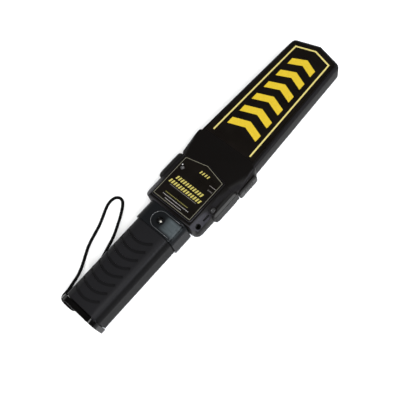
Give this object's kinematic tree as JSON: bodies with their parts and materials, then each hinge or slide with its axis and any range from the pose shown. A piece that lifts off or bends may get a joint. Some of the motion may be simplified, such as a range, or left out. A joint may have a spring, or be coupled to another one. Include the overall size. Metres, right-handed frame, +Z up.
{
  "type": "security metal detector wand",
  "caption": "Hand-held metal detector wand: flat five-sided paddle, raised control panel with side controls, ribbed rubber grip, pull-off battery cap and wrist strap.",
  "frame": {"origin": "on the flat face under the belly, on the wand's middle plane, below the control panel; the wand lies on this face", "axes": "+X to the side with the controls, +Y from the butt to the paddle's tip, +Z up through the printed face"},
  "size_m": [0.1299, 0.4151, 0.0462],
  "materials": {
    "casing": "fine matte black moulding",
    "label": "smooth printed film, near black",
    "collar": "polished black moulding",
    "grip": "soft dull black rubber",
    "control": "satin black",
    "cord": "braided black cord",
    "board": "green laminate",
    "electronic": "black moulding",
    "copper": "enamelled copper winding",
    "steel": "plain steel",
    "brass": "turned brass",
    "white_plastic": "natural white moulding",
    "lens": "clear grey domed lens",
    "red_wire": "red insulation",
    "black_wire": "black insulation",
    "cell": "plain metal jacket"
  },
  "bodies": {
    "handset": {"front_shell": "casing", "back_shell": "casing", "paddle_label": "label", "panel_label": "label", "collar": "collar", "grip_sleeve": "grip", "battery_block": "cell", "contact_board": "board", "contact_spring_left": "steel", "contact_spring_right": "steel", "coil_former": "white_plastic", "transmit_coil": "copper", "receive_coil": "copper", "circuit_board": "board", "main_chip": "electronic", "filter_capacitor": "electronic", "trimmer_body": "electronic", "alarm_led": "lens", "led_spacer": "white_plastic", "buzzer": "electronic", "vibration_motor": "steel", "power_switch_body": "electronic", "red_lead": "red_wire", "black_lead": "black_wire", "coil_lead": "black_wire", "housing_screw_1": "steel", "housing_screw_2": "steel", "housing_screw_3": "steel", "housing_screw_4": "steel", "housing_screw_5": "steel", "housing_screw_6": "steel", "tact_body": "electronic", "bevel_board": "board", "mode_switch_body": "electronic", "jack_socket": "control"},
    "battery_cap": {"battery_cap": "casing", "strap_hitch": "cord", "strap_cord": "cord"},
    "trimmer_screw": {"trimmer_screw": "brass"},
    "motor_weight": {"motor_weight": "brass"},
    "power_slide": {"power_slide": "control"},
    "push_button": {"push_button": "control", "tact_plunger": "control"},
    "mode_knob": {"mode_knob": "control"}
  },
  "joints": [
    {"name": "battery_cap_slide", "type": "slide", "parent": "handset", "child": "battery_cap", "axis": [0, -1, 0], "range_m": [0, 0.012]},
    {"name": "trimmer_turn", "type": "hinge", "parent": "handset", "child": "trimmer_screw", "pos_m": [0, -0.04151, 0.0365], "axis": [0, 0, 1], "range_deg": [-135, 135]},
    {"name": "motor_spin", "type": "hinge", "parent": "handset", "child": "motor_weight", "pos_m": [0.008, 0.00549, 0.0084], "axis": [1, 0, 0], "continuous": true},
    {"name": "power_bar_slide", "type": "slide", "parent": "handset", "child": "power_slide", "axis": [0, 1, 0], "range_m": [0, 0.004]},
    {"name": "button_press", "type": "slide", "parent": "handset", "child": "push_button", "axis": [-0.7071, 0, -0.7071], "range_m": [0, 0.001], "stiffness_N_per_m": 1500},
    {"name": "mode_switch_slide", "type": "slide", "parent": "handset", "child": "mode_knob", "axis": [0, 1, 0], "range_m": [0, 0.005]}
  ]
}
